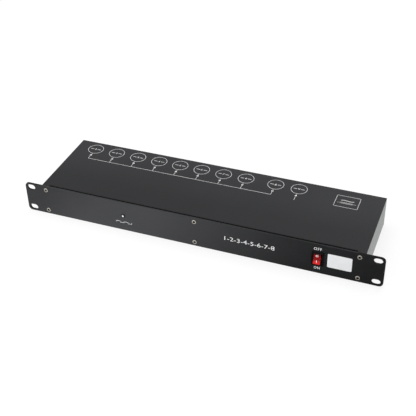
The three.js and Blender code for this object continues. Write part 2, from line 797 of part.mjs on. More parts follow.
function mainsInlet() {
  const outline = roundedOutline(
    new THREE.Shape(), 0, 0, inletFlangeWidth, inletFlangeHeight, inletFlangeRadius,
  );
  const flange = plateY(outline, 0, inletFlangeThickness);
  const body = box(
    -inletWidth / 2, inletWidth / 2, -inletBodyLength, inletFlangeThickness / 2,
    -inletHeight / 2, inletHeight / 2,
  );
  const right = recessWidth / 2;
  const top = recessZ + recessHeight / 2;
  const bottom = recessZ - recessHeight / 2;
  const recess = plateY(
    polygonShape([
      [right, bottom], [right, top - recessChamfer], [right - recessChamfer, top],
      [recessChamfer - right, top], [-right, top - recessChamfer], [-right, bottom],
    ]),
    inletFlangeThickness - recessDepth, inletFlangeThickness + overrun,
  );
  const pocket = box(
    -drawerWidth / 2 - fitGap, drawerWidth / 2 + fitGap,
    inletFlangeThickness - drawerLength - fitGap, inletFlangeThickness + overrun,
    drawerZ - drawerHeight / 2 - fitGap, drawerZ + drawerHeight / 2 + fitGap,
  );
  const bladeFoot = inletFlangeThickness - recessDepth;
  const blades = inletBladePlaces.map(([x, z]) => box(
    x - inletBladeWidth / 2, x + inletBladeWidth / 2, bladeFoot - overrun, bladeFoot + inletBladeLength,
    z - inletBladeHeight / 2, z + inletBladeHeight / 2,
  ));
  const tabs = inletBladePlaces.map(([x, z]) => box(
    x - inletTabThickness / 2, x + inletTabThickness / 2,
    -inletBodyLength - inletTabLength, overrun - inletBodyLength,
    z - inletTabWidth / 2, z + inletTabWidth / 2,
  ));
  return joined([cut(flange.add(body), [recess, pocket]), ...blades, ...tabs]);
}

// The drawer's cradle is open above, and the fuse lies across it
function fuseDrawer() {
  const back = inletFlangeThickness - drawerLength;
  const slide = box(
    -drawerWidth / 2, drawerWidth / 2, back, inletFlangeThickness + drawerPadThickness / 2,
    drawerZ - drawerHeight / 2, drawerZ + drawerHeight / 2,
  );
  const pad = box(
    -drawerPadWidth / 2, drawerPadWidth / 2, inletFlangeThickness,
    inletFlangeThickness + drawerPadThickness,
    drawerZ - drawerPadHeight / 2, drawerZ + drawerPadHeight / 2,
  );
  const cradle = box(
    -fuseLength / 2 - fitGap, fuseLength / 2 + fitGap,
    fuseY - fuseRadius - fitGap, fuseY + fuseRadius + fitGap,
    drawerZ - drawerHeight / 2 + drawerWall, drawerZ + drawerHeight / 2 + overrun,
  );
  return slide.add(pad).subtract(cradle);
}

const fuseZ = drawerZ - drawerHeight / 2 + drawerWall + fuseRadius + fitGap / 2;
const inletGroup = groupAt(inletX, rearY, caseMidZ);
place('mains_inlet', mainsInlet(), finishes.blackPlastic, inletGroup);
place('fuse_drawer', fuseDrawer(), finishes.blackPlastic, inletGroup);
place(
  'fuse', barX(fuseY, fuseZ, -fuseLength / 2, fuseLength / 2, fuseRadius, fuseFacets),
  finishes.fuseGlass, inletGroup,
);

// Circuit boards: each a plate with its soldered parts
const driverChip = { width: 6.4, length: 10, height: 4 };
const isolatorChip = { width: 6.4, length: 7, height: 3.6 };
const converter = { width: 20, length: 12, height: 9 };
const capacitorRadius = 5;
const capacitorHeight = 16;
const chipRowShares = { driver: 22 / 39, isolator: 4 / 13, converter: 5 / 39 };
const converterXShares = [0.2, 0.5, 0.8];
const solderSink = 0.2;

function boardPlate(board) {
  return box(board.left, board.right, board.front, board.rear, boardBottomZ, boardTopZ);
}

function chipAt(x, y, chip) {
  return box(
    x - chip.width / 2, x + chip.width / 2, y - chip.length / 2, y + chip.length / 2,
    boardTopZ - solderSink, boardTopZ + chip.height,
  );
}

function splitterBoardSolid() {
  const parts = [boardPlate(splitterBoard)];
  const rowY = (share) => splitterBoard.front + share * splitterBoardDepth;
  for (const x of [...outputXs, inputX]) {
    parts.push(chipAt(x, rowY(chipRowShares.driver), driverChip));
    parts.push(chipAt(x, rowY(chipRowShares.isolator), isolatorChip));
  }
  for (const share of converterXShares) {
    const x = splitterBoard.left + share * (splitterBoard.right - splitterBoard.left);
    parts.push(chipAt(x, rowY(chipRowShares.converter), converter));
  }
  return joined(parts);
}

// The power board's parts stand at shares of its width and depth
const transformerShares = { inset: 5 / 37, width: 18 / 37, depth: 8 / 15 };
const transformerHeight = 26;
const coilBulge = 4;
const coilHeight = 18;
const capacitorXShare = 30 / 37;
const capacitorYShares = [0.25, 0.55];
const landingXShare = 26 / 37;
const powerBoardWidth = powerBoard.right - powerBoard.left;
const powerBoardDepth = powerBoard.rear - powerBoard.front;
const transformerInset = transformerShares.inset * powerBoardWidth;
const transformerWidth = transformerShares.width * powerBoardWidth;
const transformerDepth = transformerShares.depth * powerBoardDepth;
const transformerX = powerBoard.left + transformerInset + transformerWidth / 2;
const transformerY = (powerBoard.front + powerBoard.rear) / 2;
const capacitorX = powerBoard.left + capacitorXShare * powerBoardWidth;

function powerBoardSolid() {
  const parts = [boardPlate(powerBoard)];
  for (const share of capacitorYShares) {
    const y = powerBoard.front + share * powerBoardDepth;
    parts.push(barZ(
      capacitorX, y, boardTopZ - solderSink, boardTopZ + capacitorHeight, capacitorRadius, screwFacets,
    ));
  }
  return joined(parts);
}

// Mains transformer: a laminated core with the coil showing at both ends
function mainsTransformer() {
  const core = box(
    transformerX - transformerWidth / 2, transformerX + transformerWidth / 2,
    transformerY - transformerDepth / 2, transformerY + transformerDepth / 2,
    boardTopZ, boardTopZ + transformerHeight,
  );
  const coilMid = boardTopZ + transformerHeight / 2;
  const coil = box(
    transformerX - transformerWidth / 4, transformerX + transformerWidth / 4,
    transformerY - transformerDepth / 2 - coilBulge, transformerY + transformerDepth / 2 + coilBulge,
    coilMid - coilHeight / 2, coilMid + coilHeight / 2,
  );
  return core.add(coil);
}

place('splitter_board', splitterBoardSolid(), finishes.boardGreen);
place('power_board', powerBoardSolid(), finishes.boardGreen);
place('mains_transformer', mainsTransformer(), finishes.coreSteel);

// Wiring inside the case: round leads between the terminals and the boards
const mainsLeadRadius = 1.2;
const signalLeadRadius = 0.8;
const leadSteps = 12;

function lead(points, radius) {
  const path = new THREE.CatmullRomCurve3(
    points.map(([x, y, z]) => new THREE.Vector3(x, y, z)), false, 'centripetal',
  );
  const section = [];
  for (let i = 0; i < wireFacets; i += 1) {
    const angle = 2 * Math.PI * i / wireFacets;
    section.push([radius * Math.cos(angle), radius * Math.sin(angle)]);
  }
  const settings = { steps: leadSteps, bevelEnabled: false, extrudePath: path };
  return solidOf(new THREE.ExtrudeGeometry(polygonShape(section), settings));
}

const inletTabY = rearY - inletBodyLength - inletTabLength - fitGap;
const inletTabZ = caseMidZ + recessZ - inletBladeRise;
const switchBladeY = frontY + switchBodyDepth + switchBladeLength + fitGap;
const boardLeadZ = boardTopZ + fitGap;
const liveInletX = inletX + inletBladeSpacing;
const neutralInletX = inletX - inletBladeSpacing;
const leadBend = 12;
const liveRunInset = 13.5;
const liveRunX = caseHalfX - liveRunInset;
const liveRunZ = 26;
const landingX = powerBoard.left + landingXShare * powerBoardWidth;
const landingInset = 6;
const neutralLandY = powerBoard.rear - landingInset;
const switchedLandY = powerBoard.front + landingInset;
const supplyFromInset = 20;
const supplyToInset = 12;
const supplyFromY = powerBoard.front + supplyFromInset;
const supplyToY = splitterBoard.front + supplyToInset;
const supplyRise = 12;
const lampLandInset = 10;
const lampLeadY = splitterBoard.front + lampLandInset;

place('live_lead', lead([
  [liveInletX, inletTabY, inletTabZ],
  [liveInletX, inletTabY - leadBend / 3, inletTabZ],
  [liveRunX, inletTabY - 2 * leadBend, liveRunZ],
  [liveRunX, switchBladeY + 2 * leadBend, liveRunZ],
  [switchX, switchBladeY + leadBend / 3, switchZ + switchBladeSpacing],
  [switchX, switchBladeY, switchZ + switchBladeSpacing],
], mainsLeadRadius), finishes.wireJacket);

place('neutral_lead', lead([
  [neutralInletX, inletTabY, inletTabZ],
  [neutralInletX, inletTabY - leadBend / 3, inletTabZ],
  [landingX, neutralLandY, boardLeadZ + leadBend / 3],
  [landingX, neutralLandY, boardLeadZ],
], mainsLeadRadius), finishes.wireJacket);

place('switched_lead', lead([
  [switchX, switchBladeY, switchZ - switchBladeSpacing],
  [switchX, switchBladeY + leadBend / 3, switchZ - switchBladeSpacing],
  [landingX, switchedLandY, boardLeadZ + leadBend / 3],
  [landingX, switchedLandY, boardLeadZ],
], mainsLeadRadius), finishes.wireJacket);

place('supply_lead', lead([
  [powerBoard.left + transformerInset / 2, supplyFromY, boardLeadZ],
  [powerBoard.left + transformerInset / 2, supplyFromY, boardLeadZ + supplyRise],
  [splitterBoard.right - transformerInset / 2, supplyToY, boardLeadZ + supplyRise],
  [splitterBoard.right - transformerInset / 2, supplyToY, boardLeadZ],
], signalLeadRadius), finishes.wireJacket);

place('lamp_lead', lead([
  [lampX, frontY + holderSleeveLength + lampRimLength + fitGap, lampZ],
  [lampX, frontY + holderSleeveLength + lampRimLength + leadBend, lampZ],
  [lampX, lampLeadY, boardLeadZ + leadBend / 3],
  [lampX, lampLeadY, boardLeadZ],
], signalLeadRadius), finishes.wireJacket);

export default unit;
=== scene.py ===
import math

import bmesh
import bpy
from mathutils import Matrix, Vector


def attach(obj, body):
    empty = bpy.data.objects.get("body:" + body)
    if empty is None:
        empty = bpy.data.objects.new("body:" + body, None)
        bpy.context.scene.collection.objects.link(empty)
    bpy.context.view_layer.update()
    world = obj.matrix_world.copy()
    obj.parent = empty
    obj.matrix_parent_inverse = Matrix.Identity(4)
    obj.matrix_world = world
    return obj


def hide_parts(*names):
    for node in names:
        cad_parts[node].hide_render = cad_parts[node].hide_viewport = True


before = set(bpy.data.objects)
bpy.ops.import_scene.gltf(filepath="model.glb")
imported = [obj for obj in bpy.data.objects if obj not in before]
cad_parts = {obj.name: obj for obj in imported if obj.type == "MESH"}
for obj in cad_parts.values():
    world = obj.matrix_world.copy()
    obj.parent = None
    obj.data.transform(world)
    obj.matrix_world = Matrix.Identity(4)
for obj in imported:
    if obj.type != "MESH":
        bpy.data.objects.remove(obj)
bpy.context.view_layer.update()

# Camera: a long lens high to the right of the front, looking down over the panel on to the cover.
# Its place, turn and lens are those from which the photograph was taken.
yaw, pitch, roll = math.radians(21.45), math.radians(36.10), math.radians(-1.27)
turn = Matrix.Rotation(yaw, 3, "Z")
turn = turn @ Matrix.Rotation(math.radians(90) - pitch, 3, "X")
turn = turn @ Matrix.Rotation(roll, 3, "Z")
bpy.ops.object.camera_add(location=(0.33719, -0.87096, 0.69815), rotation=turn.to_euler())
camera = bpy.context.object
camera.name = "camera"
camera.data.lens = 75.85
camera.data.clip_start = 0.05
bpy.context.scene.camera = camera
bpy.context.scene.view_settings.view_transform = "Standard"

# Studio: a white sweep under the unit, a pale room all round, one wide soft box overhead, one at
# the front left and a weak one behind. The sweep in front carries a painted reflection that only
# the gloss of the panel mirrors: it glows brightest left of the middle and falls off to the right.
bpy.ops.mesh.primitive_plane_add(size=9, location=(0, 0, -0.0004))
floor = bpy.context.object
floor.name = "floor"


def seen_as(tree, kinds, lit, shown, share=1.0):
    """Mixes in what these kinds of ray see in place of the lit shader."""
    ray = tree.nodes.new("ShaderNodeLightPath")
    total = tree.nodes.new("ShaderNodeMath")
    total.operation = "ADD"
    total.inputs[1].default_value = 0
    part = tree.nodes.new("ShaderNodeMath")
    part.operation = "MULTIPLY"
    part.inputs[1].default_value = share
    mix = tree.nodes.new("ShaderNodeMixShader")
    for number, kind in enumerate(kinds):
        tree.links.new(ray.outputs[f"Is {kind} Ray"], total.inputs[number])
    tree.links.new(total.outputs[0], part.inputs[0])
    tree.links.new(part.outputs[0], mix.inputs[0])
    tree.links.new(lit.outputs[0], mix.inputs[1])
    tree.links.new(shown.outputs[0], mix.inputs[2])
    return mix


def set_greys(ramp, greys):
    """Sets a colour ramp to greys at places along it, from 0 to 1."""
    stops = ramp.color_ramp.elements
    for number, (at, grey) in enumerate(greys):
        stop = stops[number] if number < 2 else stops.new(at)
        stop.position = at
        stop.color = (grey, grey, grey, 1)


sweep = bpy.data.materials.new("sweep_paper")
sweep.use_nodes = True
tree = sweep.node_tree
paper = tree.nodes["Principled BSDF"]
paper.inputs["Base Color"].default_value = (0.86, 0.86, 0.86, 1)
paper.inputs["Roughness"].default_value = 0.9
glow = tree.nodes.new("ShaderNodeEmission")
spot = tree.nodes.new("ShaderNodeTexCoord")
apart = tree.nodes.new("ShaderNodeSeparateXYZ")
across = tree.nodes.new("ShaderNodeMapRange")
across.inputs["From Min"].default_value = -0.25
across.inputs["From Max"].default_value = 0.25
falloff = tree.nodes.new("ShaderNodeValToRGB")
# Painted reflection: how brightly glossy rays see the sweep glow, given along X.
painted_reflection_by_x = ((-236, 0.55), (-160, 1), (-75, 1), (45, 0.48), (125, 0.15), (230, 0.02))
set_greys(falloff, [((x + 250) / 500, strength) for x, strength in painted_reflection_by_x])
behind = tree.nodes.new("ShaderNodeMapRange")
behind.inputs["From Min"].default_value = -0.062
behind.inputs["From Max"].default_value = -0.055
level = tree.nodes.new("ShaderNodeMath")
level.operation = "MAXIMUM"
painted_reflection_glow = tree.nodes.new("ShaderNodeEmission")
painted_reflection_glow.inputs["Color"].default_value = (1.04, 1.05, 1.09, 1)
tree.links.new(spot.outputs["Object"], apart.inputs[0])
tree.links.new(apart.outputs["X"], across.inputs["Value"])
tree.links.new(across.outputs[0], falloff.inputs["Fac"])
tree.links.new(apart.outputs["Y"], behind.inputs["Value"])
tree.links.new(falloff.outputs["Color"], level.inputs[0])
tree.links.new(behind.outputs[0], level.inputs[1])
tree.links.new(level.outputs[0], painted_reflection_glow.inputs["Strength"])
white_seen = seen_as(tree, ("Camera", "Transmission"), paper, glow, 0.8)
mirrored_seen = seen_as(tree, ("Glossy",), white_seen, painted_reflection_glow)
tree.links.new(mirrored_seen.outputs[0], tree.nodes["Material Output"].inputs["Surface"])
floor.data.materials.append(sweep)

room = bpy.data.worlds.new("room")
bpy.context.scene.world = room
room.use_nodes = True
dim = room.node_tree.nodes["Background"]
dim.inputs["Color"].default_value = (0.985, 0.99, 1.0, 1)
dim.inputs["Strength"].default_value = 0.62
plain = room.node_tree.nodes.new("ShaderNodeBackground")
plain.inputs["Color"].default_value = (1, 1, 1, 1)
white_room = seen_as(room.node_tree, ("Camera", "Transmission"), dim, plain)
white_room = seen_as(room.node_tree, ("Glossy",), white_room, plain)
room.node_tree.links.new(white_room.outputs[0], room.node_tree.nodes["World Output"].inputs["Surface"])


def soft_box(name, place, aim, wide, high, power):
    """A rectangular studio lamp that is turned to a point."""
    bpy.ops.object.light_add(type="AREA", location=place)
    lamp = bpy.context.object
    lamp.name = name
    lamp.rotation_euler = (Vector(aim) - Vector(place)).to_track_quat("-Z", "Y").to_euler()
    lamp.data.shape = "RECTANGLE"
    lamp.data.size = wide
    lamp.data.size_y = high
    lamp.data.energy = power


soft_box("top_box", (-0.2, 0.15, 1.5), (0, 0, 0), 1.4, 1.0, 16)
soft_box("front_box", (-0.75, -1.0, 0.5), (-0.1, 0, 0.03), 0.6, 0.5, 8.5)
soft_box("rear_box", (0.6, 1.3, 0.9), (0.1, 0, 0.03), 0.6, 0.5, 5)

# Chassis tray: one sheet of plated steel, a millimetre thick, folded up into a floor, two side
# walls and a low front wall, with flanges at the rear and clinched standoffs under the boards.
mm = 0.001


def only(piece):
    """Makes a piece the active object and the only one selected."""
    bpy.ops.object.select_all(action="DESELECT")
    piece.select_set(True)
    bpy.context.view_layer.objects.active = piece


def settled(piece):
    """Puts a piece's place, turn and scale into its mesh."""
    bpy.ops.object.transform_apply(location=True, rotation=True, scale=True)
    return piece


def block(name, x, y, z):
    """A cube primitive stretched from one corner to the other, in millimetres."""
    middle = [(side[0] + side[1]) / 2 * mm for side in (x, y, z)]
    bpy.ops.object.select_all(action="DESELECT")
    bpy.ops.mesh.primitive_cube_add(size=1, location=middle)
    piece = bpy.context.object
    piece.name = name
    piece.scale = [(side[1] - side[0]) * mm for side in (x, y, z)]
    return settled(piece)


def rod(name, axis, place, ends, radius, sides=48, far_radius=None):
    """A round bar along X, Y or Z between two ends on that axis, in millimetres."""
    turns = {"X": (0, math.radians(90), 0), "Y": (math.radians(-90), 0, 0), "Z": (0, 0, 0)}
    middle = list(place)
    middle.insert("XYZ".index(axis), (ends[0] + ends[1]) / 2)
    bpy.ops.object.select_all(action="DESELECT")
    bpy.ops.mesh.primitive_cone_add(
        vertices=sides,
        radius1=radius * mm,
        radius2=(radius if far_radius is None else far_radius) * mm,
        depth=(ends[1] - ends[0]) * mm,
        location=[side * mm for side in middle],
        rotation=turns[axis],
    )
    piece = bpy.context.object
    piece.name = name
    return settled(piece)


def pick(piece, kind, test):
    """Opens a piece in edit mode with the faces or edges selected whose middle and direction pass."""
    only(piece)
    bpy.ops.object.mode_set(mode="EDIT")
    bpy.ops.mesh.select_mode(type=kind)
    bpy.ops.mesh.select_all(action="DESELECT")
    mesh = bmesh.from_edit_mesh(piece.data)
    if kind == "FACE":
        for face in mesh.faces:
            face.select_set(bool(test(face.calc_center_median() / mm, face.normal)))
    else:
        for edge in mesh.edges:
            near, far = [corner.co for corner in edge.verts]
            edge.select_set(bool(test((near + far) / 2 / mm, (far - near).normalized())))
    bmesh.update_edit_mesh(piece.data)


def done():
    """Leaves edit mode."""
    bpy.ops.object.mode_set(mode="OBJECT")


def round_edges(piece, radius, segments, test):
    """Rounds the edges of a piece that pass a test."""
    pick(piece, "EDGE", test)
    bpy.ops.mesh.bevel(offset=radius * mm, segments=segments, affect="EDGES")
    done()
    return piece


def apply(piece, kind, **settings):
    """Adds a modifier with its settings to a piece and applies it."""
    only(piece)
    modifier = piece.modifiers.new(kind.lower(), kind)
    for name, value in settings.items():
        setattr(modifier, name, value)
    bpy.ops.object.modifier_apply(modifier=modifier.name)


def carve(piece, tools, operation="DIFFERENCE"):
    """Cuts the tools out of a piece, and takes them away."""
    for tool in tools:
        apply(piece, "BOOLEAN", operation=operation, solver="EXACT", object=tool)
        bpy.data.objects.remove(tool)
    return piece


def weld(piece, others):
    """Makes others a part of a piece, and takes them away."""
    return carve(piece, others, "UNION")


def dress(piece, *materials):
    """Gives a piece its finishes in place of any that it has."""
    piece.data.materials.clear()
    for material in materials:
        piece.data.materials.append(material)
    return piece


def soften(piece, width, segments=2, angle=35, edge_finish=-1):
    """Rounds the sharp edges a little, as folding, moulding and painting leave them."""
    only(piece)
    bpy.ops.object.mode_set(mode="EDIT")
    bpy.ops.mesh.select_all(action="SELECT")
    bpy.ops.mesh.remove_doubles(threshold=0.003 * mm)
    bpy.ops.mesh.dissolve_limited(angle_limit=math.radians(0.5))
    bpy.ops.mesh.normals_make_consistent(inside=False)
    done()
    apply(
        piece, "BEVEL", width=width * mm, segments=segments, limit_method="ANGLE",
        angle_limit=math.radians(angle), miter_outer="MITER_ARC", material=edge_finish,
    )
    bpy.ops.object.shade_smooth_by_angle(angle=math.radians(40))
    apply(piece, "WEIGHTED_NORMAL", keep_sharp=True, weight=80)
    return piece


def paint_over(piece, number, test):
    """Gives the faces that pass a test another of the piece's finishes."""
    pick(piece, "FACE", test)
    piece.active_material_index = number
    bpy.ops.object.material_slot_assign()
    done()
    return piece


def fit(piece, nodes=(), body="root"):
    """Sets which body a finished piece rides on, and hides the nodes it stands for."""
    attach(piece, body)
    if nodes:
        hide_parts(*nodes)
    return piece


def finish(
    name, low, high, rough, cloud=30, grain=1500, height=0.02, metal=0.0, gloss=0.5,
    stretch=(1, 1, 1),
):
    """A finish in two shades that drift in slow clouds, with its dullness, and a fine grain."""
    material = bpy.data.materials.new(name)
    material.use_nodes = True
    tree = material.node_tree
    shader = tree.nodes["Principled BSDF"]
    shader.inputs["Metallic"].default_value = metal
    shader.inputs["Specular IOR Level"].default_value = gloss
    spot = tree.nodes.new("ShaderNodeTexCoord")
    scale = tree.nodes.new("ShaderNodeMapping")
    scale.inputs["Scale"].default_value = stretch
    clouds = tree.nodes.new("ShaderNodeTexNoise")
    clouds.inputs["Scale"].default_value = cloud
    clouds.inputs["Detail"].default_value = 5
    shades = tree.nodes.new("ShaderNodeValToRGB")
    shades.name = "shades"
    shades.color_ramp.elements[0].position = 0.3
    shades.color_ramp.elements[0].color = (*low, 1)
    shades.color_ramp.elements[1].position = 0.7
    shades.color_ramp.elements[1].color = (*high, 1)
    dull = tree.nodes.new("ShaderNodeMapRange")
    dull.inputs["To Min"].default_value = rough[0]
    dull.inputs["To Max"].default_value = rough[1]
    grains = tree.nodes.new("ShaderNodeTexNoise")
    grains.inputs["Scale"].default_value = grain
    grains.inputs["Detail"].default_value = 2
    bump = tree.nodes.new("ShaderNodeBump")
    bump.inputs["Strength"].default_value = 0.5
    bump.inputs["Distance"].default_value = height * mm
    tree.links.new(spot.outputs["Object"], scale.inputs["Vector"])
    tree.links.new(scale.outputs["Vector"], clouds.inputs["Vector"])
    tree.links.new(scale.outputs["Vector"], grains.inputs["Vector"])
    tree.links.new(clouds.outputs["Fac"], shades.inputs["Fac"])
    tree.links.new(clouds.outputs["Fac"], dull.inputs["Value"])
    tree.links.new(grains.outputs["Fac"], bump.inputs["Height"])
    tree.links.new(shades.outputs["Color"], shader.inputs["Base Color"])
    tree.links.new(dull.outputs["Result"], shader.inputs["Roughness"])
    tree.links.new(bump.outputs["Normal"], shader.inputs["Normal"])
    return material


def deepen(material, axis, ends, shades):
    """Paints light and shade into a finish by the given shares at places along one axis, between two
    ends in mm.
    """
    tree = material.node_tree
    spot = tree.nodes.new("ShaderNodeTexCoord")
    apart = tree.nodes.new("ShaderNodeSeparateXYZ")
    along = tree.nodes.new("ShaderNodeMapRange")
    along.inputs["From Min"].default_value = ends[0] * mm
    along.inputs["From Max"].default_value = ends[1] * mm
    depths = tree.nodes.new("ShaderNodeValToRGB")
    set_greys(depths, shades)
    deepened = tree.nodes.new("ShaderNodeMix")
    deepened.data_type = "RGBA"
    deepened.blend_type = "MULTIPLY"
    deepened.inputs["Factor"].default_value = 1
    tree.links.new(spot.outputs["Object"], apart.inputs[0])
    tree.links.new(apart.outputs[axis], along.inputs["Value"])
    tree.links.new(along.outputs[0], depths.inputs["Fac"])
    tree.links.new(tree.nodes["shades"].outputs["Color"], deepened.inputs["A"])
    tree.links.new(depths.outputs["Color"], deepened.inputs["B"])
    tree.links.new(deepened.outputs["Result"], tree.nodes["Principled BSDF"].inputs["Base Color"])
    return material


plated_sheet = finish(
    "plated_sheet", (0.172, 0.178, 0.157), (0.226, 0.233, 0.207), (0.34, 0.48), cloud=60, grain=420,
    height=0.012, metal=0.8, stretch=(1, 0.6, 1),
)
case_paint = finish(
    "case_paint", (0.0149, 0.0150, 0.0167), (0.0195, 0.0197, 0.0219), (0.46, 0.56), cloud=12,
    grain=1300, height=0.02, gloss=0.13,
)
# Painted light on the cover: its black is darker at the front and lighter towards the rear.
deepen(case_paint, "Y", (-60, 60), ((0, 0.55), (0.3, 0.6), (0.6, 0.85), (0.9, 1.0)))
# A dull deeper black that paints shade: on the tray's front wall in the gap behind the panel, and on
# the panel's edges.
painted_shade_black = finish(
    "painted_shade_black", (0.0060, 0.0061, 0.0065), (0.0085, 0.0086, 0.0090), (0.5, 0.6), cloud=60,
    grain=1300, height=0.02, gloss=0.05,
)
case_side, tray_front, tray_rear, tray_top = 217.5, -59.5, 60.3, 41.6
inner_side = 216.5
side_screw_ys, side_screw_z = (-37.5, 38.3), 34.6
lamp_spot = (-99.4, 22.5)
switch_spot = (159.8, 22.6)
panel_screw_spots = [(x, z) for x in (-210.5, 0, 210.5) for z in (37.8, 6.0)]
cover_screw_spots = [(side, y) for side in (-1, 1) for y in side_screw_ys]
tray = block("tray", (-case_side, case_side), (tray_front, tray_rear), (0, tray_top))
round_edges(tray, 1.5, 6, lambda middle, run: middle.z < 1 and abs(run.y) > 0.9)
hollow = block("hollow", (-inner_side, inner_side), (-58.5, 70), (1, 60))
round_edges(hollow, 0.6, 4, lambda middle, run: middle.z < 2 and abs(run.y) > 0.9)
carve(tray, [hollow, block("step", (-inner_side, inner_side), (-70, -58), (40.6, 60))])
inside = [
    block("flange", (207.5, 217), (59.3, tray_rear), (0.5, 40.6)),
    block("flange", (-217, -207.5), (59.3, tray_rear), (0.5, 40.6)),
]
standoffs = [(x, y) for x in (-199, -40.5, 118) for y in (-16, 50)]
standoffs += [(x, y) for x in (138, 200) for y in (-24, 24)]
inside += [rod("standoff", "Z", spot, (0.5, 6), 2.5, 32) for spot in standoffs]
weld(tray, inside)
through = (-62, -57)
holes = [rod("hole", "Y", spot, through, 1.8, 32) for spot in panel_screw_spots]
holes.append(rod("hole", "Y", lamp_spot, through, 2.6, 32))
holes.append(block("hole", (152.9, 166.7), through, (12.7, 32.5)))
for side, y in cover_screw_spots:
    radii = (1.55, 2.85) if side > 0 else (2.85, 1.55)
    ends = (inner_side, case_side) if side > 0 else (-case_side, -inner_side)
    holes.append(rod("hole", "X", (y, side_screw_z), ends, radii[0], 32, radii[1]))
carve(tray, holes)
dress(tray, plated_sheet, painted_shade_black)
soften(tray, 0.15)
# The tray's front wall, seen only in the gap under the cover's front bend, gets the painted shade.
paint_over(tray, 1, lambda middle, normal: middle.y < -58.4)
fit(tray, ["chassis_tray"])

# Front panel: a steel plate two millimetres thick with rounded corners and four rack slots,
# punched for the lamp, the switch and its screws, then powder painted in a satin black. Its edges
# carry a painted shade in a duller, deeper black, and its upper face carries painted light, lighter
# between the ears than on them.
panel_paint = finish(
    "panel_paint", (0.0080, 0.0082, 0.0090), (0.0104, 0.0107, 0.0116), (0.36, 0.44), cloud=22,
    grain=1400, height=0.014, gloss=0.57,
)
top_face_painted_light = finish(
    "top_face_painted_light", (0.030, 0.0303, 0.0315), (0.037, 0.0373, 0.0386), (0.5, 0.6), cloud=22,
    grain=1300, height=0.02, gloss=0.05,
)
# Painted light on the panel's upper face: dark over the ears, lighter between them, and dimmer right of
# the middle.
deepen(top_face_painted_light, "X", (-250, 250), (
    (0, 0.2), (0.063, 0.2), (0.067, 1.0), (0.5, 0.92), (0.75, 0.5), (0.914, 0.68), (0.918, 0.2),
))


def rounded(name, x, y, z, radius, segments=8):
    """A block whose four edges along Y are rounded, as a plate is that faces front or rear."""
    return round_edges(block(name, x, y, z), radius, segments, lambda middle, run: abs(run.y) > 0.9)


panel_side, panel_face, panel_top = 241.3, -61.5, 43.8
panel = rounded(
    "panel", (-panel_side, panel_side), (panel_face, tray_front), (0, panel_top), 5.5, 10,
)
through = (-65, -57)
openings = []
for x in (-232.55, 232.55):
    for z in (6.025, 37.775):
        openings.append(rounded("slot", (x - 5.5, x + 5.5), through, (z - 3.8, z + 3.8), 3.799, 12))
openings += [rod("hole", "Y", spot, through, 1.8, 32) for spot in panel_screw_spots]
openings.append(rod("hole", "Y", lamp_spot, through, 2.3, 32))
openings.append(block("hole", (153.2, 166.4), through, (13.0, 32.2)))
carve(panel, openings)
dress(panel, panel_paint, painted_shade_black, top_face_painted_light)
soften(panel, 0.22, edge_finish=1)
# The bevels, the top, bottom and ends and the walls of the openings get the painted shade; the upper
# face then gets the painted light.
paint_over(panel, 1, lambda middle, normal: abs(normal.y) < 0.9)
paint_over(panel, 2, lambda middle, normal: normal.z > 0.9 and middle.z > panel_top - 0.1)
fit(panel, ["front_panel"])

# Panel screws: six low round heads of yellow plated steel, each with a hexagon socket, screwed
# through the panel into the tray's front wall.
yellow_steel = finish(
    "yellow_steel", (0.34, 0.324, 0.282), (0.45, 0.429, 0.372), (0.42, 0.54), cloud=500, grain=2600,
    height=0.006, metal=0.4,
)
# A near black that paints the shade inside each hexagon socket.
socket_painted_shade = finish(
    "socket_painted_shade", (0.004, 0.004, 0.004), (0.008, 0.008, 0.008), (0.5, 0.6), cloud=500, grain=2600,
    height=0.006, gloss=0.15,
)


def copied(piece, name, shift):
    """Duplicates a piece with its own mesh and sets it down that far away, in millimetres."""
    only(piece)
    bpy.ops.object.duplicate()
    copy = bpy.context.object
    copy.name = name
    copy.location = [side * mm for side in shift]
    return settled(copy)


def round_head_screw(name, x, z):
    """A low round head on the panel's face with a socket in it, and a shank with a narrower end."""
    screw = rod(name, "Y", (x, z), (-62.3, panel_face), 2.9, 48)
    round_edges(screw, 0.5, 5, lambda middle, run: middle.y < -62 and abs(run.y) < 0.1)
    pick(screw, "FACE", lambda middle, normal: normal.y > 0.9)
    bpy.ops.mesh.inset(thickness=1.5 * mm)
    bpy.ops.mesh.extrude_region_move(TRANSFORM_OT_translate={"value": (0, 5.4 * mm, 0)})
    bpy.ops.mesh.extrude_region_move(TRANSFORM_OT_translate={"value": (0, 0.6 * mm, 0)})
    bpy.ops.transform.resize(value=(0.6, 1, 0.6), center_override=(x * mm, -55.5 * mm, z * mm))
    done()
    carve(screw, [rod("socket", "Y", (x, z), (-65, -61.7), 1.9, 6)])
    dress(screw, yellow_steel, socket_painted_shade)
    soften(screw, 0.07, angle=45)
    # The socket's walls and floor get the painted shade.
    return paint_over(
        screw, 1,
        lambda middle, normal: -62.22 < middle.y < -61.65
        and math.hypot(middle.x - x, middle.z - z) < 1.88,
    )


first_screw = round_head_screw("screw", *panel_screw_spots[0])
for number, (x, z) in enumerate(panel_screw_spots, 1):
    shift = (x - panel_screw_spots[0][0], 0, z - panel_screw_spots[0][1])
    fit(copied(first_screw, f"button_screw_{number}", shift), [f"panel_screw_{number}"])

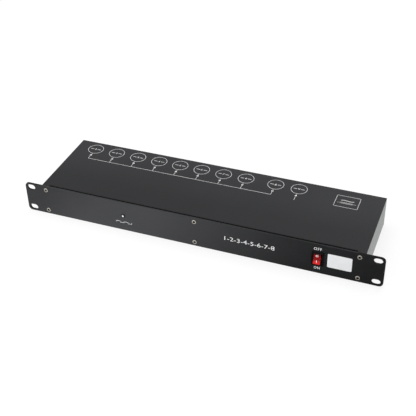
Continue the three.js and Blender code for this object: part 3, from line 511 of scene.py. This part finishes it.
# Signal lamp: a milky white lens in a black plastic ring that is pushed through the panel from
# the front and grips it behind.
black_plastic = finish(
    "black_plastic", (0.0055, 0.0055, 0.006), (0.0095, 0.0095, 0.010), (0.34, 0.46), cloud=120,
    grain=2200, height=0.01, gloss=0.3,
)
lens_white = finish(
    "lens_white", (0.78, 0.80, 0.80), (0.88, 0.90, 0.90), (0.08, 0.16), cloud=900, grain=3000,
    height=0.003, gloss=0.6,
)
lamp_ring = rod("lamp_ring", "Y", lamp_spot, (-62.2, panel_face), 2.9, 48)
pick(lamp_ring, "FACE", lambda middle, normal: normal.y > 0.9)
bpy.ops.mesh.inset(thickness=0.8 * mm)
bpy.ops.mesh.extrude_region_move(TRANSFORM_OT_translate={"value": (0, 5 * mm, 0)})
done()
carve(lamp_ring, [rod("bore", "Y", lamp_spot, (-64, -55), 1.65, 48)])
soften(dress(lamp_ring, black_plastic), 0.16, 3)
fit(lamp_ring, ["led_holder"])
lens_rear = -56.5
lens = rod("lamp_lens", "Y", lamp_spot, (-62.6, lens_rear), 1.5, 48)
round_edges(lens, 1.35, 8, lambda middle, run: middle.y < -62.5)
pick(lens, "FACE", lambda middle, normal: normal.y > 0.9)
bpy.ops.mesh.extrude_region_move(TRANSFORM_OT_translate={"value": (0, 0, 0)})
bpy.ops.transform.resize(
    value=(4 / 3, 1, 4 / 3),
    center_override=(lamp_spot[0] * mm, lens_rear * mm, lamp_spot[1] * mm),
)
bpy.ops.mesh.extrude_region_move(TRANSFORM_OT_translate={"value": (0, 1 * mm, 0)})
done()
soften(dress(lens, lens_white), 0.05)
fit(lens, ["signal_led"])

# Rocker switch: a black moulded case with a raised bezel that snaps into the panel, three blades
# behind, and a glossy red rocker with white marks that tips on two pins in the panel's plane.
red_plastic = finish(
    "red_plastic", (0.54, 0.006, 0.006), (0.64, 0.010, 0.010), (0.18, 0.28), cloud=260, grain=2600,
    height=0.005, gloss=0.28,
)
# Painted light and shade along the rocker's height: bright over its lower part, shaded over its upper
# half, and darkest at both ends.
deepen(red_plastic, "Z", (14.6, 30.6), (
    (0, 0.1), (0.07, 0.2), (0.13, 1.0), (0.22, 1.0), (0.42, 0.36), (0.82, 0.44), (0.9, 0.08),
))
# A dark red that paints the rocker's flanks in shade.
red_sides_painted_shade = finish(
    "red_sides_painted_shade", (0.09, 0.003, 0.003), (0.13, 0.005, 0.005), (0.4, 0.5), cloud=260, grain=2600,
    height=0.005, gloss=0.2,
)
mark_white = finish(
    "mark_white", (0.74, 0.74, 0.72), (0.84, 0.84, 0.82), (0.4, 0.5), cloud=500, grain=2600,
    height=0.005,
)
case_black = finish(
    "case_black", (0.0030, 0.0030, 0.0034), (0.0048, 0.0048, 0.0053), (0.34, 0.46), cloud=120,
    grain=2200, height=0.01, gloss=0.12,
)
sx, sz = switch_spot
case = rounded(
    "switch_case", (sx - 7.5, sx + 7.5), (-63, panel_face), (sz - 10.5, sz + 10.5), 1.2, 6,
)
round_edges(case, 0.5, 3, lambda middle, run: middle.y < -62.9)
weld(case, [block("body", (sx - 6.3, sx + 6.3), (-62.4, -48.5), (sz - 9.3, sz + 9.3))])
carve(case, [block("well", (sx - 5.45, sx + 5.45), (-66, -57.376), (sz - 8.025, sz + 8.025))])
soften(dress(case, case_black), 0.14)
carve(case, [rod("pin_hole", "X", (panel_face, sz), (sx - 8, sx + 8), 1.3, 24)])
weld(case, [
    block("blade", (sx - 2.4, sx + 2.4), (-49.5, -41.5), (sz + z - 0.4, sz + z + 0.4))
    for z in (-7, 0, 7)
])
fit(case, ["switch_housing"])


def rocker_outline():
    """Two nearly flat faces that meet in a soft crease, round ends about the pins, a flat back."""
    points = []
    crease = 0.16
    for step in range(25):
        along = -1 + step / 12
        rise = (math.hypot(along, crease) - crease) / (math.hypot(1, crease) - crease)
        points.append((-1.5 - 1.3 * rise, along * 7.2))
    radius = math.hypot(7.2, 2.8)
    for side in (1, -1):
        for step in range(1, 7) if side > 0 else range(6, 0, -1):
            angle = math.radians(21.25 - 40.92 * step / 6)
            points.append((-radius * math.sin(angle), side * radius * math.cos(angle)))
    return points


def stamped(name, outline, x):
    """A flat shape drawn in Y and Z, filled and thickened between two places along X."""
    bpy.ops.object.select_all(action="DESELECT")
    bpy.ops.mesh.primitive_circle_add(vertices=len(outline), fill_type="NGON")
    piece = bpy.context.object
    piece.name = name
    for corner, (y, z) in zip(piece.data.vertices, outline):
        corner.co = ((x[0] + x[1]) / 2 * mm, y * mm, z * mm)
    piece.data.update()
    apply(piece, "SOLIDIFY", thickness=(x[1] - x[0]) * mm, offset=0)
    return piece


def pressed(piece):
    """Tips what was built about the switch's pins to the pressed side and sets it in the case."""
    only(piece)
    piece.location = (sx * mm, panel_face * mm, sz * mm)
    piece.rotation_euler.x = math.radians(-10)
    return settled(piece)


rocker = stamped("rocker", rocker_outline(), (-4.75, 4.35))
soften(rocker, 0.35, 3, angle=30)
pins = soften(rod("pins", "X", (0, 0), (-6.25, 6.25), 1.0, 24), 0.1)
weld(rocker, [pins])
dress(rocker, red_plastic, red_sides_painted_shade)
# The flanks get the painted shade.
paint_over(rocker, 1, lambda middle, normal: abs(normal.x) > 0.6)
fit(pressed(rocker), ["switch_rocker"], "rocker")
bpy.ops.object.select_all(action="DESELECT")
bpy.ops.mesh.primitive_torus_add(
    major_radius=1.3 * mm, minor_radius=0.32 * mm, major_segments=40, minor_segments=10,
    location=(-0.3 * mm, -2.2 * mm, 4.2 * mm), rotation=(math.radians(90 + 10.2), 0, 0),
)
off_mark = bpy.context.object
off_mark.name = "off_mark"
off_mark.scale.z = 0.4
settled(off_mark)
bpy.ops.object.shade_smooth()
on_mark = rounded("on_mark", (-0.36, 0.36), (-0.13, 0.13), (-1.5, 1.5), 0.2, 3)
on_mark.location = (-0.3 * mm, -2.13 * mm, -3.6 * mm)
on_mark.rotation_euler.x = math.radians(-10.2)
settled(on_mark)
soften(on_mark, 0.06)
for mark in (off_mark, on_mark):
    fit(dress(pressed(mark), mark_white), (), "rocker")

# Label plate: a thin white plastic plate with rounded corners, stuck on the panel beside the
# switch and left bare.
label_white = finish(
    "label_white", (0.67, 0.68, 0.683), (0.725, 0.735, 0.74), (0.34, 0.46), cloud=70, grain=1800,
    height=0.008, gloss=0.4,
)
label = rounded("label", (172.2, 202.3), (-62.0, panel_face), (12.9, 33.1), 1.5, 8)
soften(dress(label, label_white), 0.14, 3)
fit(label, ["label_plate"])

# Top cover: one folded sheet that lies on the tray's walls, with a bent front edge just behind
# the panel and two lips inside the walls, painted in the same black but duller, with painted light
# that lightens it from front to rear.
rear_face, cover_top = 61.5, 42.6


def front_bend(middle, run):
    """Picks the upper front edge that runs along X."""
    return middle.z > 41 and middle.y < -54 and abs(run.x) > 0.9


cover = block("cover", (-208, 208), (-55.5, rear_face), (34.6, cover_top))
round_edges(cover, 1.2, 6, front_bend)
under = block("under", (-210, 210), (-54.5, 70), (30, tray_top))
round_edges(under, 0.3, 3, front_bend)
carve(cover, [under])
lips = []
for side in (-1, 1):
    corner = sorted((side * 207, side * case_side))
    lips.append(block("corner", corner, (-59.2, rear_face), (tray_top, cover_top)))
    lips.append(block("lip", sorted((side * 215.2, side * 216.2)), (-54.5, 59.0), (29.6, 42.1)))
weld(cover, lips)
carve(cover, [rod("hole", "X", (y, side_screw_z), (-219, 219), 1.55, 32) for y in side_screw_ys])
soften(dress(cover, case_paint), 0.16)
fit(cover, ["top_cover"])

# Cover print: white ink screened on the cover over the connectors, a line that feeds nine rings,
# one for each output, a ring for the input, and a box for the mains inlet.
ink_white = finish(
    "ink_white", (0.36, 0.36, 0.36), (0.50, 0.50, 0.50), (0.5, 0.62), cloud=320, grain=3200,
    height=0.006, gloss=0.3,
)
ink, ink_middle = (42.58, 42.64), 42.61


def join(name, pieces):
    """Makes one piece of several, with a name."""
    bpy.ops.object.select_all(action="DESELECT")
    for piece in pieces:
        piece.select_set(True)
    bpy.context.view_layer.objects.active = pieces[0]
    bpy.ops.object.join()
    pieces[0].name = name
    return pieces[0]


def ring(x, y, radius, width):
    """A printed ring round a place on the cover."""
    bpy.ops.object.select_all(action="DESELECT")
    bpy.ops.mesh.primitive_circle_add(
        vertices=72, radius=radius * mm, fill_type="NGON", location=(x * mm, y * mm, ink[0] * mm),
    )
    piece = settled(bpy.context.object)
    pick(piece, "FACE", lambda middle, normal: True)
    bpy.ops.mesh.inset(thickness=width * mm)
    bpy.ops.mesh.delete(type="FACE")
    done()
    apply(piece, "SOLIDIFY", thickness=(ink[1] - ink[0]) * mm, offset=1)
    return piece


def stroke(x, y):
    """A printed bar on the cover."""
    return block("stroke", x, y, ink)


def arrow(x, y):
    """A slim filled triangle that points to the rear."""
    head = rod("arrow", "Z", (x, y), ink, 2.4, 3)
    pick(head, "FACE", lambda middle, normal: True)
    bpy.ops.transform.resize(value=(0.72, 1.25, 1), center_override=(x * mm, y * mm, 0))
    done()
    return head


def lettering(words, wide, high, place, upright=False, weight=0.0, apart=1.0):
    """Words or digits in the plain built-in letter, fitted to a width and height in millimetres."""
    bpy.ops.object.select_all(action="DESELECT")
    bpy.ops.object.text_add()
    text = bpy.context.object
    text.data.body = words
    text.data.offset = weight
    text.data.space_character = apart
    text.data.extrude = 0.01
    text.data.resolution_u = 6
    bpy.ops.object.convert(target="MESH")
    bpy.ops.object.origin_set(type="ORIGIN_GEOMETRY", center="BOUNDS")
    sizes = text.dimensions.copy()
    text.scale = (wide * mm / sizes.x, high * mm / sizes.y, 0.06 * mm / sizes.z)
    text.rotation_euler.x = math.radians(90) if upright else 0
    text.location = [side * mm for side in place]
    settled(text)
    bpy.ops.object.mode_set(mode="EDIT")
    bpy.ops.mesh.select_all(action="SELECT")
    bpy.ops.mesh.remove_doubles(threshold=0.0005 * mm)
    bpy.ops.mesh.normals_make_consistent(inside=False)
    done()
    return text


ring_radius, line = 11.0, 0.66
output_xs = [-189.5 + 31.75 * number for number in range(8)] + [74.2]
input_x = 105.95
drift = ((0, 0), (0.6, 0), (1.4, 0), (1.3, 0), (0.6, 0.2), (0.3, 0.1), (0.1, -0.3), (0, -0.3))
ring_spots = [(x + aside, 44.9 + back) for x, (aside, back) in zip(output_xs, drift)]
ring_spots += [(output_xs[8], 44.15), (input_x, 44.1)]
prints = []
heads = []
for number, (x, y) in enumerate(ring_spots, 1):
    prints.append(ring(x, y, ring_radius, line))
    stem_front = 20.6 if number < 10 else 18.6
    prints.append(stroke((x - line / 2, x + line / 2), (stem_front, y - ring_radius + 0.2)))
    for dash in ((x - 7.5, x - 2.6), (x + 2.6, x + 7.5)):
        prints.append(stroke(dash, (y - 0.5, y + 0.5)))
    heads.append(arrow(x, y - ring_radius - 3.9))
    if number < 9:
        wide = 1.4 if number == 1 else 2.6
        prints.append(lettering(str(number), wide, 3.4, (x, y, ink_middle), weight=0.01))
    elif number == 9:
        prints.append(arrow(x, y - 0.4))
    else:
        prints.append(lettering("v", 3.6, 3.0, (x, y, ink_middle), weight=0.02))
feed_front = 20.2
feed = (output_xs[0] - line / 2, output_xs[-1] + line / 2)
prints.append(stroke(feed, (feed_front, feed_front + line)))
left, right, front, back = 156, 187.3, 23.7, 48.5
prints.append(stroke((left, right), (front, front + line)))
prints.append(stroke((left, right), (back - line, back)))
prints.append(stroke((left, left + line), (front, back)))
prints.append(stroke((right - line, right), (front, back)))
prints.append(lettering("~", 17, 2.2, (171.6, 38.4, ink_middle)))
fuse_sign = (
    ((159.6, 183.6), (32.8, 33.3)),
    ((163.6, 179.6), (31.6, 32.1)),
    ((163.6, 179.6), (34.0, 34.5)),
    ((163.6, 164.1), (31.6, 34.5)),
    ((179.1, 179.6), (31.6, 34.5)),
)
prints += [stroke(x, y) for x, y in fuse_sign]
bright_ink = finish(
    "bright_ink", (0.70, 0.70, 0.70), (0.82, 0.82, 0.82), (0.5, 0.62), cloud=320, grain=3200,
    height=0.006, gloss=0.3,
)
fit(dress(join("arrow_heads", heads), bright_ink))
cover_print = dress(join("cover_print", prints), ink_white)
fit(cover_print)

# Panel print: a denser white ink on the panel, a pulse sign under the lamp, a row of output
# numbers, and OFF and ON over and under the switch.
panel_ink, panel_ink_middle = (-61.54, -61.48), -61.51
signs = [lettering("1-2-3-4-5-6-7-8", 65.2, 6.0, (72.9, panel_ink_middle, 22.8), True, -0.004)]
signs.append(lettering("OFF", 9.6, 4.1, (159.6, panel_ink_middle, 36.8), True, apart=1.2))
signs.append(lettering("ON", 7.4, 3.6, (159.7, panel_ink_middle, 7.9), True, 0.01, 1.2))
for step in range(5):
    x = -110 + 5.5 * step
    signs.append(block("pulse", (x, x + 0.5), panel_ink, (11.4, 13.6)))
    if step < 4:
        z = 13.6 if step % 2 == 0 else 11.9
        signs.append(block("pulse", (x, x + 6.0), panel_ink, (z - 0.5, z)))
panel_print = dress(join("panel_print", signs), bright_ink)
fit(panel_print)

# Cover screws: four countersunk cross-head screws of plated steel, flush in the side walls,
# which hold the cover's lips.
bright_steel = finish(
    "bright_steel", (0.50, 0.50, 0.49), (0.64, 0.64, 0.62), (0.22, 0.34), cloud=400, grain=2600,
    height=0.006, metal=1.0,
)


def cross_tools(x, y, z, face, deep):
    """Two crossed blades that cut the driver's recess in a head that faces along X or Y."""
    tools = []
    for wide, high in ((1.7, 0.4), (0.4, 1.7)):
        if face == "X":
            spans = ((x - deep, x + 1), (y - wide, y + wide))
        else:
            spans = ((x - wide, x + wide), (y - deep, y + 1))
        tools.append(block("cross", *spans, (z - high, z + high)))
    return tools


side_screw_spot = (side_screw_ys[0], side_screw_z)
side_screw = rod("screw", "X", side_screw_spot, (inner_side, case_side), 1.4, 40, 2.7)
weld(side_screw, [rod("shank", "X", side_screw_spot, (212.5, 217), 1.4, 24)])
carve(side_screw, cross_tools(case_side, *side_screw_spot, "X", 0.8))
soften(dress(side_screw, bright_steel), 0.07, angle=45)
for number, (side, y) in enumerate(cover_screw_spots, 1):
    screw = copied(side_screw, f"side_screw_{number}", (0, y - side_screw_ys[0], 0))
    if side < 0:
        screw.rotation_euler.z = math.radians(180)
        screw.location.y = 2 * y * mm
        settled(screw)
    fit(screw, [f"cover_screw_{number}"])
bpy.data.objects.remove(side_screw)

# Rear plate: a flat sheet punched for ten round connectors and the mains inlet, painted black,
# held to the tray's rear flanges by four screws like the panel's.
z0 = 21.3
rear = block("rear_plate", (-case_side, case_side), (tray_rear, rear_face), (0, tray_top))
punches = [rod("hole", "Y", (x, z0), (58, 64), 12.1, 48) for x in output_xs + [input_x]]
punches.append(block("hole", (157.4, 185.0), (58, 64), (5.5, 37.1)))
carve(rear, punches)
soften(dress(rear, case_paint), 0.16)
fit(rear, ["rear_panel"])
rear_screw_spots = [(x, z) for x in (-211.5, 211.5) for z in (6.5, 33.5)]
for number, (x, z) in enumerate(rear_screw_spots, 1):
    screw = copied(first_screw, f"rear_screw_{number}", (210.5, rear_face, -37.8))
    screw.rotation_euler.z = math.radians(180)
    screw.location = (x * mm, rear_face * mm, z * mm)
    only(screw)
    settled(screw)
    fit(screw)
bpy.data.objects.remove(first_screw)

# Output sockets: a black die-cast shell with a square flange, a plastic insert with three
# contact holes, and a steel latch. Two countersunk screws hold each flange to the rear plate.
x0 = output_xs[0]
shell_paint = finish(
    "shell_paint", (0.014, 0.014, 0.015), (0.022, 0.022, 0.023), (0.3, 0.42), cloud=90, grain=1500,
    height=0.016, gloss=0.5,
)


def flange_screw_spots(x):
    """Two opposite corners of a flange."""
    return [(x + way * 9.7, z0 - way * 12.2) for way in (-1, 1)]


def connector_shell(name, x):
    """A flange with a barrel and a raised collar, bored through, with two screw seats."""
    shell = rounded(name, (x - 13, x + 13), (rear_face, 63.5), (z0 - 15.5, z0 + 15.5), 2.5, 8)
    weld(shell, [
        rod("barrel", "Y", (x, z0), (41.5, 63), 11.7, 64),
        rod("collar", "Y", (x, z0), (63, 64.3), 12.3, 64, 11.7),
    ])
    tools = [
        rod("bore", "Y", (x, z0), (47.0, 70), 9.6, 64),
        rod("neck", "Y", (x, z0), (40, 62), 6.2, 40),
    ]
    for spot in flange_screw_spots(x):
        tools.append(rod("seat", "Y", spot, (62.3, 64), 2.85, 32))
        tools.append(rod("hole", "Y", spot, (60, 64), 1.5, 24))
    return carve(shell, tools)


shell = connector_shell("shell", x0)
carve(shell, [
    block("slot", (x0 - 3.3, x0 + 3.3), (47.7, 70), (z0 + 4, z0 + 11.5)),
    block("relief", (x0 - 4.7, x0 + 4.7), (63.5, 70), (z0 + 4, z0 + 16)),
])
soften(dress(shell, shell_paint), 0.22)


def board_tails(x):
    """The insert's neck, and three tails that are soldered to the board."""
    tails = [rod("neck", "Y", (x, z0), (38.5, 48), 5.8, 32)]
    for side in (-3.9, 0, 3.9):
        tails.append(block("tail", (x + side - 0.45, x + side + 0.45), (39.55, 40.45), (7.6, 18.4)))
    return tails


contacts = ((-3.9, 0), (3.9, 0), (0, -3.9))
insert = rod("insert", "Y", (x0, z0), (47.0, 62.5), 7.9, 64)
bores = []
for x, z in contacts:
    bores.append(rod("contact", "Y", (x0 + x, z0 + z), (50.5, 64), 1.3, 24))
    bores.append(rod("mouth", "Y", (x0 + x, z0 + z), (62.0, 62.6), 1.3, 24, 1.9))
bores.append(block("key", (x0 - 1.2, x0 + 1.2), (52, 64), (z0 + 6.6, z0 + 9)))
carve(insert, bores)
weld(insert, board_tails(x0))
soften(dress(insert, black_plastic), 0.12)

latch_steel = finish(
    "latch_steel", (0.44, 0.43, 0.40), (0.58, 0.57, 0.54), (0.26, 0.38), cloud=200, grain=1800,
    height=0.008, metal=1.0,
)
latch = block("latch", (x0 - 4, x0 + 4), (65.3, 67.1), (z0 + 9.9, z0 + 14.4))
weld(latch, [block("tongue", (x0 - 3, x0 + 3), (49.5, 66.2), (z0 + 9.9, z0 + 11.2))])
carve(latch, [
    block("groove", (x0 - 5, x0 + 5), (66.8, 68), (z0 + z, z0 + z + 0.5))
    for z in (11.2, 12.3, 13.4)
])
soften(dress(latch, latch_steel), 0.16)


def flange_screws(name, x):
    """The two countersunk screws of one flange, at opposite corners, as one piece."""
    heads = []
    for spot in flange_screw_spots(x):
        head = rod("head", "Y", spot, (62.3, 63.55), 2.6, 32)
        weld(head, [rod("shank", "Y", spot, (56.5, 63), 1.3, 20)])
        heads.append(carve(head, cross_tools(spot[0], 63.55, spot[1], "Y", 0.8)))
    return soften(dress(join(name, heads), bright_steel), 0.08, angle=45)


screws = flange_screws("screws", x0)
for number, x in enumerate(output_xs, 1):
    shift = (x - x0, 0, 0)
    fit(copied(shell, f"socket_shell_{number}", shift), [f"output_shell_{number}"])
    fit(copied(insert, f"socket_insert_{number}", shift), [f"output_insert_{number}"])
    own_latch = copied(latch, f"socket_latch_{number}", shift)
    fit(own_latch, [f"output_latch_{number}"], f"latch_{number}")
    fit(copied(screws, f"socket_screws_{number}", shift))
fit(copied(screws, "input_screws", (input_x - x0, 0, 0)))
for piece in (shell, insert, latch, screws):
    bpy.data.objects.remove(piece)

# Input connector: the same shell without a latch, and three silvered pins that stand in it on a
# plastic disc.
input_socket = soften(dress(connector_shell("input_socket", input_x), shell_paint), 0.22)
fit(input_socket, ["input_shell"])
disc = rod("input_disc", "Y", (input_x, z0), (47.0, 50.0), 9.3, 64)
weld(disc, board_tails(input_x))
soften(dress(disc, black_plastic), 0.12)
silvered = []
for x, z in contacts:
    pin = rod("pin", "Y", (input_x + x, z0 + z), (49.5, 62.5), 1.2, 32)
    round_edges(pin, 0.9, 5, lambda middle, run: middle.y > 62.4)
    silvered.append(pin)
pins = dress(join("input_pins", silvered), bright_steel)
only(pins)
bpy.ops.object.shade_smooth_by_angle(angle=math.radians(40))
fit(disc, ["input_insert"])
fit(pins)

# Mains inlet: a black moulded body that snaps into the rear plate, with three blades in its
# recess, and over it a drawer with a finger edge that holds the glass fuse.
ix = 171.2
body = rounded("inlet", (ix - 15, ix + 15), (rear_face, 64.0), (z0 - 17, z0 + 17), 2.0, 8)
weld(body, [block("body", (ix - 13.5, ix + 13.5), (41.5, 62.75), (z0 - 15.5, z0 + 15.5))])
recess = block("recess", (ix - 12.1, ix + 12.1), (47.0, 70), (z0 - 13.9, z0 + 2.7))
round_edges(recess, 4, 1, lambda middle, run: abs(run.y) > 0.9 and middle.z > z0)
round_edges(recess, 1.2, 4, lambda middle, run: abs(run.y) > 0.9 and middle.z < z0 - 10)
carve(body, [recess, block("pocket", (ix - 11.4, ix + 11.4), (49.7, 70), (z0 + 6.1, z0 + 13.5))])
blade_spots = ((-7, -7.6), (7, -7.6), (0, -3.6))
weld(body, [
    block("tab", (ix + x - 0.4, ix + x + 0.4), (34.5, 42.5), (z0 + z - 2.4, z0 + z + 2.4))
    for x, z in blade_spots
])
soften(dress(body, black_plastic), 0.25)
fit(body, ["mains_inlet"])
blades = []
for x, z in blade_spots:
    blade = block("blade", (ix + x - 1, ix + x + 1), (46.5, 61.0), (z0 + z - 2, z0 + z + 2))
    blades.append(round_edges(blade, 0.5, 2, lambda middle, run: middle.y > 60.9))
blades = soften(dress(join("inlet_blades", blades), bright_steel), 0.1)
fit(blades)

drawer = block("drawer", (ix - 11.1, ix + 11.1), (50.0, 64.7), (z0 + 6.4, z0 + 13.2))
weld(drawer, [rounded("pad", (ix - 12, ix + 12), (64.0, 65.4), (z0 + 5.5, z0 + 14.1), 0.8, 4)])
carve(drawer, [
    block("cradle", (ix - 10.3, ix + 10.3), (55.6, 61.4), (z0 + 7.1, z0 + 16)),
    rod("finger", "Z", (ix, 68.2), (z0 + 4, z0 + 8.2), 4, 32),
])
soften(dress(drawer, black_plastic), 0.2)
fit(drawer, ["fuse_drawer"], "drawer")
fuse_glass = finish(
    "fuse_glass", (0.55, 0.62, 0.62), (0.68, 0.74, 0.74), (0.05, 0.1), cloud=300, grain=2600,
    height=0.002,
)
fuse_spot = (58.5, 31.15)
fuse_tube = rod("fuse_tube", "X", fuse_spot, (ix - 10, ix + 10), 2.35, 32)
caps = []
for ends in ((ix - 10, ix - 4.8), (ix + 4.8, ix + 10)):
    caps.append(soften(rod("cap", "X", fuse_spot, ends, 2.6, 32), 0.15))
fuse_caps = dress(join("fuse_caps", caps), bright_steel)
soften(dress(fuse_tube, fuse_glass), 0.2)
fit(fuse_tube, ["fuse"], "drawer")
fit(fuse_caps, (), "drawer")

# Boards, transformer and leads: green boards whose soldered parts are black, a transformer of
# steel sheets, and plastic-covered leads that run to the inlet, the switch and the lamp.
def layered(name, below, above, height):
    """Two finishes on one board: the plate up to a height, and its parts over it."""
    material = finish(name, below[0], below[1], (0.3, 0.45), cloud=180, grain=1800, height=0.01)
    tree = material.node_tree
    spot = tree.nodes.new("ShaderNodeTexCoord")
    apart = tree.nodes.new("ShaderNodeSeparateXYZ")
    step = tree.nodes.new("ShaderNodeMath")
    step.operation = "GREATER_THAN"
    step.inputs[1].default_value = height * mm
    mix = tree.nodes.new("ShaderNodeMix")
    mix.data_type = "RGBA"
    mix.inputs["B"].default_value = (*above, 1)
    tree.links.new(spot.outputs["Object"], apart.inputs[0])
    tree.links.new(apart.outputs["Z"], step.inputs[0])
    tree.links.new(step.outputs[0], mix.inputs["Factor"])
    tree.links.new(tree.nodes["shades"].outputs["Color"], mix.inputs["A"])
    tree.links.new(mix.outputs["Result"], tree.nodes["Principled BSDF"].inputs["Base Color"])
    return material


board_top = 7.7
board_green = layered(
    "board_green", ((0.010, 0.075, 0.028), (0.016, 0.11, 0.04)), (0.012, 0.012, 0.013), board_top,
)
core_steel = finish(
    "core_steel", (0.10, 0.10, 0.11), (0.17, 0.17, 0.18), (0.4, 0.55), cloud=60, grain=900, height=0.05,
    metal=0.7, stretch=(6, 0.2, 0.2),
)
inner_finishes = {
    "splitter_board": board_green,
    "power_board": board_green,
    "mains_transformer": core_steel,
    "live_lead": finish("brown_jacket", (0.06, 0.022, 0.01), (0.09, 0.035, 0.016), (0.4, 0.5)),
    "neutral_lead": finish("blue_jacket", (0.01, 0.05, 0.25), (0.015, 0.07, 0.32), (0.4, 0.5)),
    "switched_lead": finish("dark_jacket", (0.02, 0.02, 0.022), (0.03, 0.03, 0.033), (0.4, 0.5)),
    "supply_lead": finish("red_jacket", (0.3, 0.01, 0.01), (0.4, 0.016, 0.014), (0.4, 0.5)),
    "lamp_lead": finish("white_jacket", (0.5, 0.5, 0.48), (0.62, 0.62, 0.6), (0.4, 0.5)),
}
for name, material in inner_finishes.items():
    for finish_slot in bpy.data.objects[name].material_slots:
        finish_slot.material = material
